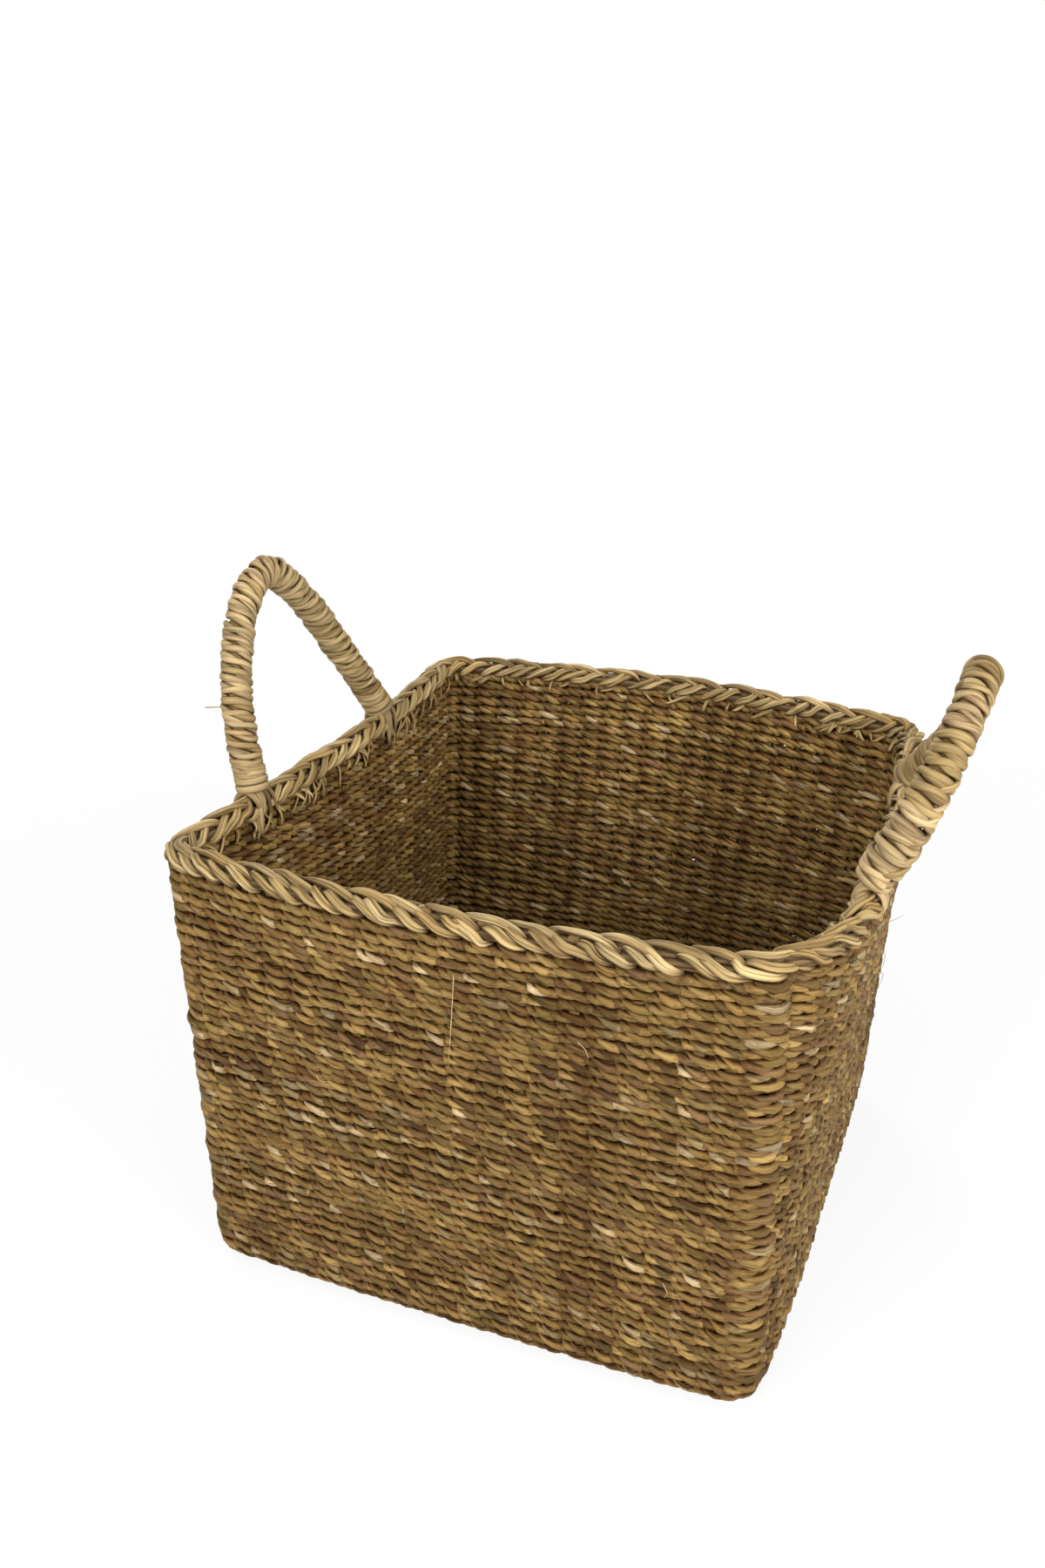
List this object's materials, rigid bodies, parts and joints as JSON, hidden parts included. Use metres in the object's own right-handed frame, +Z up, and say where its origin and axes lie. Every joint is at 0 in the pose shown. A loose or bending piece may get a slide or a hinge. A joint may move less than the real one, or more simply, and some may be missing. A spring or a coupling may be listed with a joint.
{
  "type": "magazine basket",
  "caption": "Open square basket twined from dried seagrass over crossed stakes, with a braided border and an arched wrapped handle at each side.",
  "frame": {"origin": "middle of the underside, on the surface the basket stands on", "axes": "+X along the front to the right handle, +Y to the back, +Z up"},
  "size_m": [0.4979, 0.4443, 0.4751],
  "materials": {
    "weft": "matt dried seagrass, twisted strands",
    "stake": "matt dried seagrass stalks",
    "border": "matt to satin dried seagrass strands",
    "wrapping": "matt to satin dried seagrass strands"
  },
  "bodies": {
    "root": {"wall_weft_outer": "weft", "wall_weft_inner": "weft", "floor_weft_under": "weft", "floor_weft_upper": "weft", "stake_lengthwise_01": "stake", "stake_lengthwise_02": "stake", "stake_lengthwise_03": "stake", "stake_lengthwise_04": "stake", "stake_lengthwise_05": "stake", "stake_lengthwise_06": "stake", "stake_lengthwise_07": "stake", "stake_lengthwise_08": "stake", "stake_lengthwise_09": "stake", "stake_lengthwise_10": "stake", "stake_lengthwise_11": "stake", "stake_lengthwise_12": "stake", "stake_lengthwise_13": "stake", "stake_lengthwise_14": "stake", "stake_lengthwise_15": "stake", "stake_lengthwise_16": "stake", "stake_lengthwise_17": "stake", "stake_lengthwise_18": "stake", "stake_lengthwise_19": "stake", "stake_lengthwise_20": "stake", "stake_crosswise_01": "stake", "stake_crosswise_02": "stake", "stake_crosswise_03": "stake", "stake_crosswise_04": "stake", "stake_crosswise_05": "stake", "stake_crosswise_06": "stake", "stake_crosswise_07": "stake", "stake_crosswise_08": "stake", "stake_crosswise_09": "stake", "stake_crosswise_10": "stake", "stake_crosswise_11": "stake", "stake_crosswise_12": "stake", "stake_crosswise_13": "stake", "stake_crosswise_14": "stake", "stake_crosswise_15": "stake", "stake_crosswise_16": "stake", "stake_crosswise_17": "stake", "stake_crosswise_18": "stake", "stake_crosswise_19": "stake", "stake_crosswise_20": "stake", "border_outer_row": "border", "border_inner_row": "border", "border_top_row": "border", "handle_core_left": "stake", "handle_wrap_left": "wrapping", "lashing_left_front": "wrapping", "lashing_left_back": "wrapping", "handle_core_right": "stake", "handle_wrap_right": "wrapping", "lashing_right_front": "wrapping", "lashing_right_back": "wrapping"}
  },
  "joints": []
}
